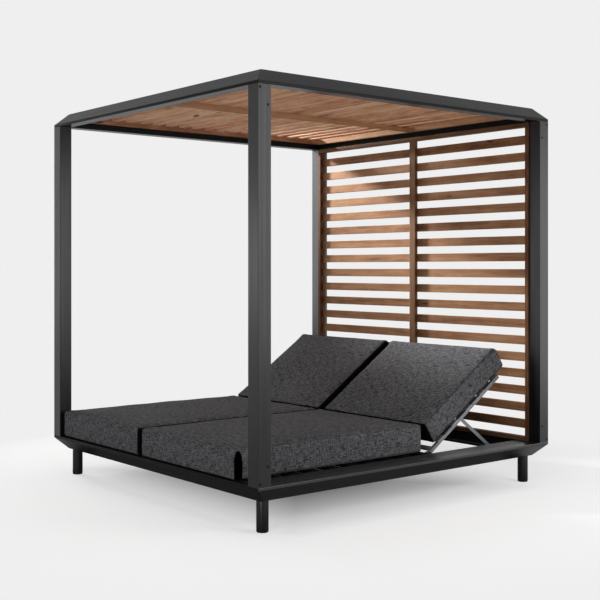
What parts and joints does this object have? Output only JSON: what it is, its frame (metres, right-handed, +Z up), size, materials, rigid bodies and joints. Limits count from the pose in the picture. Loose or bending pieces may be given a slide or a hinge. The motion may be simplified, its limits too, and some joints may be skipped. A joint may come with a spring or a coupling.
{
  "type": "daybed with canopy",
  "caption": "Outdoor daybed for two in a square black frame, with a slatted wooden roof and back panel and reclining padded backrests on folding stays.",
  "frame": {"origin": "on the floor at the centre of the footprint", "axes": "+Z up, -Y towards the foot end, +Y towards the slatted back panel, +X across the bed to the right as seen from the foot end"},
  "size_m": [2, 2.056, 2.116],
  "materials": {
    "black_frame": "satin",
    "black_trim": "matte",
    "black_steel": "satin",
    "teak": "matte",
    "cushion_fabric": "matte",
    "grey_metal": "satin",
    "steel": "satin"
  },
  "bodies": {
    "frame": {"roof_rail_left": "black_frame", "roof_rail_front": "black_frame", "roof_rail_right": "black_frame", "roof_rail_back": "black_frame", "base_rail_left": "black_frame", "base_rail_front": "black_frame", "base_rail_right": "black_frame", "base_rail_back": "black_frame", "post_front_left": "black_frame", "leg_front_left": "black_frame", "glide_front_left": "black_trim", "post_front_right": "black_frame", "leg_front_right": "black_frame", "glide_front_right": "black_trim", "post_back_left": "black_frame", "leg_back_left": "black_frame", "glide_back_left": "black_trim", "post_back_right": "black_frame", "leg_back_right": "black_frame", "glide_back_right": "black_trim", "side_beam_left": "black_frame", "hinge_beam_left": "black_frame", "seat_deck_left": "black_frame", "seat_pad_left": "cushion_fabric", "side_beam_right": "black_frame", "hinge_beam_right": "black_frame", "seat_deck_right": "black_frame", "seat_pad_right": "cushion_fabric", "centre_beam": "black_frame", "roof_slats": "teak", "roof_batten": "teak", "roof_end_rail_front": "teak", "roof_end_rail_back": "teak", "back_slats": "teak", "back_batten": "teak", "back_top_rail": "teak", "back_bottom_rail": "teak", "hinge_bracket_left_west": "black_frame", "hinge_pin_left_west": "steel", "guide_rail_left_west": "black_frame", "hinge_bracket_left_east": "black_frame", "hinge_pin_left_east": "steel", "guide_rail_left_east": "black_frame", "hinge_bracket_right_west": "black_frame", "hinge_pin_right_west": "steel", "guide_rail_right_west": "black_frame", "hinge_bracket_right_east": "black_frame", "hinge_pin_right_east": "steel", "guide_rail_right_east": "black_frame"},
    "backrest_left": {"backrest_frame_left": "grey_metal"},
    "pad_left": {"backrest_pad_left": "cushion_fabric"},
    "stay_left": {"stay_arm_left_west": "grey_metal", "stay_arm_left_east": "grey_metal", "stay_axle_left": "black_steel"},
    "backrest_right": {"backrest_frame_right": "grey_metal"},
    "pad_right": {"backrest_pad_right": "cushion_fabric"},
    "stay_right": {"stay_arm_right_west": "grey_metal", "stay_arm_right_east": "grey_metal", "stay_axle_right": "black_steel"}
  },
  "joints": [
    {"name": "backrest_left_recline", "type": "hinge", "parent": "frame", "child": "backrest_left", "pos_m": [-0.4325, 0.262, 0.214], "axis": [1, 0, 0], "range_deg": [-34, 16]},
    {"name": "stay_left_fold", "type": "hinge", "parent": "backrest_left", "child": "stay_left", "pos_m": [-0.4325, 0.52066, 0.38847], "axis": [1, 0, 0], "range_deg": [-32, 68]},
    {"name": "pad_left_shift", "type": "slide", "parent": "backrest_left", "child": "pad_left", "axis": [0, 0.829, 0.5592], "range_m": [-0.0961, 0.0453]},
    {"name": "backrest_right_recline", "type": "hinge", "parent": "frame", "child": "backrest_right", "pos_m": [0.4325, 0.262, 0.214], "axis": [1, 0, 0], "range_deg": [-34, 16]},
    {"name": "stay_right_fold", "type": "hinge", "parent": "backrest_right", "child": "stay_right", "pos_m": [0.4325, 0.52066, 0.38847], "axis": [1, 0, 0], "range_deg": [-32, 68]},
    {"name": "pad_right_shift", "type": "slide", "parent": "backrest_right", "child": "pad_right", "axis": [0, 0.829, 0.5592], "range_m": [-0.0961, 0.0453]}
  ],
  "couplings": [
    {"joint": "stay_left_fold", "follows": "backrest_left_recline", "ratio": -2},
    {"joint": "pad_left_shift", "follows": "backrest_left_recline", "m_per_rad": 0.16178},
    {"joint": "stay_right_fold", "follows": "backrest_right_recline", "ratio": -2},
    {"joint": "pad_right_shift", "follows": "backrest_right_recline", "m_per_rad": 0.16178}
  ]
}
